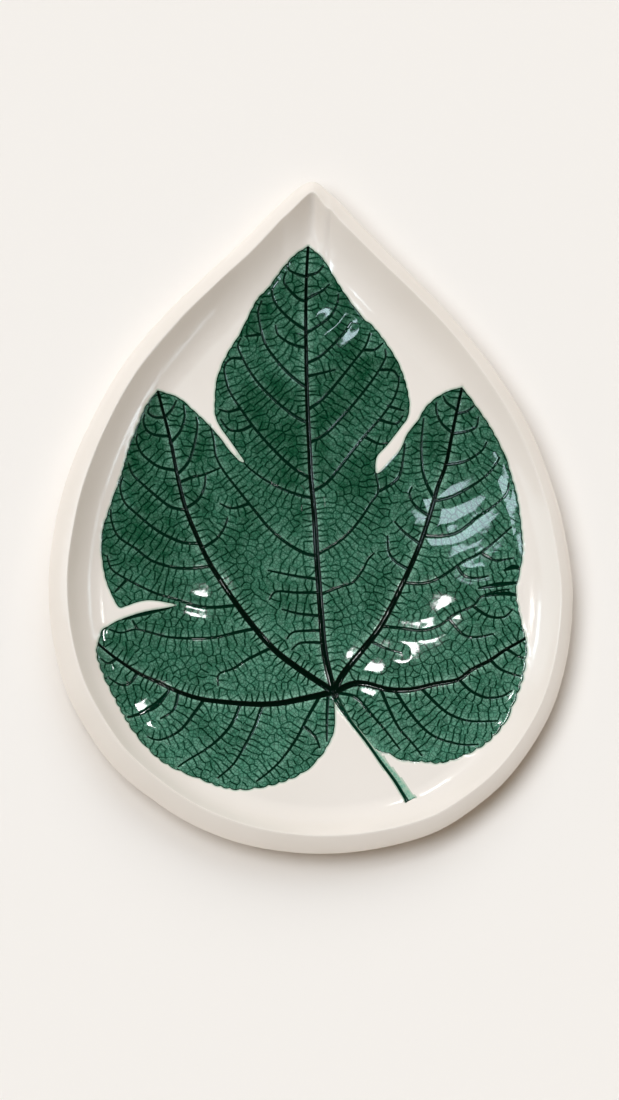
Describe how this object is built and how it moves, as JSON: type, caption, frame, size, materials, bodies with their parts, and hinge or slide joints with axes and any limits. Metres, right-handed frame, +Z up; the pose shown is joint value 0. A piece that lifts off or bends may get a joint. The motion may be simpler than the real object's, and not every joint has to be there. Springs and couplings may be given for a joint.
{
  "type": "teardrop plate",
  "caption": "Shallow teardrop serving plate in white glazed clay with a pointed tip, a turned-up rim and a fig leaf print filled with green glaze; rests flat on a table.",
  "frame": {"origin": "on the table under the middle of the plate, at the height of its flat foot", "axes": "+Z up, +Y from the round end to the pointed tip, +X to the right seen from above with the tip away from the viewer"},
  "size_m": [0.222, 0.3, 0.02],
  "materials": {
    "clay": "bare fired clay, dry and slightly gritty",
    "white_glaze": "glossy warm white glaze with a few small dark specks",
    "green_glaze": "glossy translucent green glaze over fine net veins",
    "vein_glaze": "glossy dark green glaze pooled in the vein grooves"
  },
  "bodies": {
    "root": {"clay_slab": "clay", "inside_glaze": "white_glaze", "rim_glaze": "white_glaze", "underside_glaze": "white_glaze", "centre_left_blade": "green_glaze", "centre_right_blade": "green_glaze", "left_lobe_blade": "green_glaze", "right_lobe_blade": "green_glaze", "left_base_blade": "green_glaze", "right_base_blade": "green_glaze", "midrib": "vein_glaze", "left_lobe_vein": "vein_glaze", "right_lobe_vein": "vein_glaze", "left_base_vein": "vein_glaze", "right_base_vein": "vein_glaze", "midrib_side_veins": "vein_glaze", "left_lobe_side_veins": "vein_glaze", "right_lobe_side_veins": "vein_glaze", "left_base_side_veins": "vein_glaze", "right_base_side_veins": "vein_glaze", "stalk_knot": "vein_glaze", "leaf_stem": "vein_glaze"}
  },
  "joints": []
}
